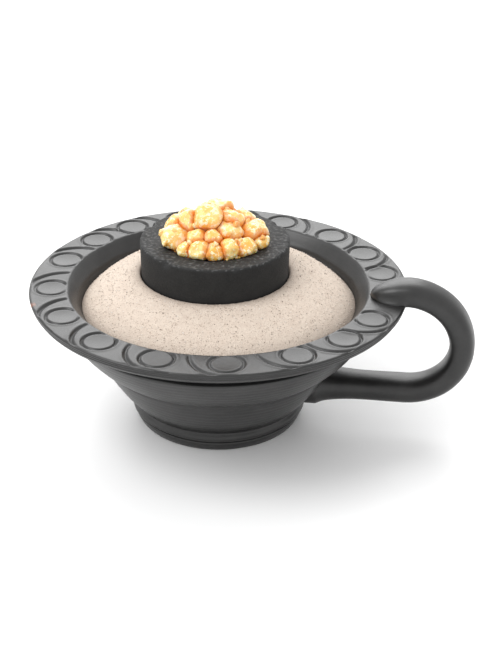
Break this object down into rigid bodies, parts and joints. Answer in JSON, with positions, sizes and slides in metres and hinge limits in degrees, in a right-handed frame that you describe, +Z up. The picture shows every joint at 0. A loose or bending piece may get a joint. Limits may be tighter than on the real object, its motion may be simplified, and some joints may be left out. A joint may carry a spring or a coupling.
{
  "type": "incense burner",
  "caption": "Clay incense burner: a footed bowl with a stamped flat rim and a loop handle, filled with sand that carries a charcoal tablet under a heap of resin.",
  "frame": {"origin": "centre of the foot's flat base, on the table", "axes": "+Z up along the bowl's axis; +X from the axis through the middle of the loop handle"},
  "size_m": [0.1206, 0.102, 0.0626],
  "materials": {
    "clay": "satin",
    "sand": "matte",
    "charcoal": "matte",
    "resin": "satin"
  },
  "bodies": {
    "bowl": {"bowl": "clay", "handle": "clay", "sand_bed": "sand"},
    "charcoal": {"charcoal_tablet": "charcoal"},
    "resin": {"resin_lump_01": "resin", "resin_lump_02": "resin", "resin_lump_03": "resin", "resin_lump_04": "resin", "resin_lump_05": "resin", "resin_lump_06": "resin", "resin_lump_07": "resin", "resin_lump_08": "resin", "resin_lump_09": "resin", "resin_lump_10": "resin", "resin_lump_11": "resin", "resin_lump_12": "resin", "resin_lump_13": "resin", "resin_lump_14": "resin", "resin_lump_15": "resin", "resin_lump_16": "resin", "resin_lump_17": "resin", "resin_lump_18": "resin", "resin_lump_19": "resin", "resin_lump_20": "resin", "resin_lump_21": "resin", "resin_lump_22": "resin", "resin_lump_23": "resin", "resin_lump_24": "resin"}
  },
  "joints": [
    {"name": "tablet_lift", "type": "slide", "parent": "bowl", "child": "charcoal", "axis": [0, 0, 1], "range_m": [0, 0.04]},
    {"name": "heap_lift", "type": "slide", "parent": "charcoal", "child": "resin", "axis": [0, 0, 1], "range_m": [0, 0.03]}
  ]
}
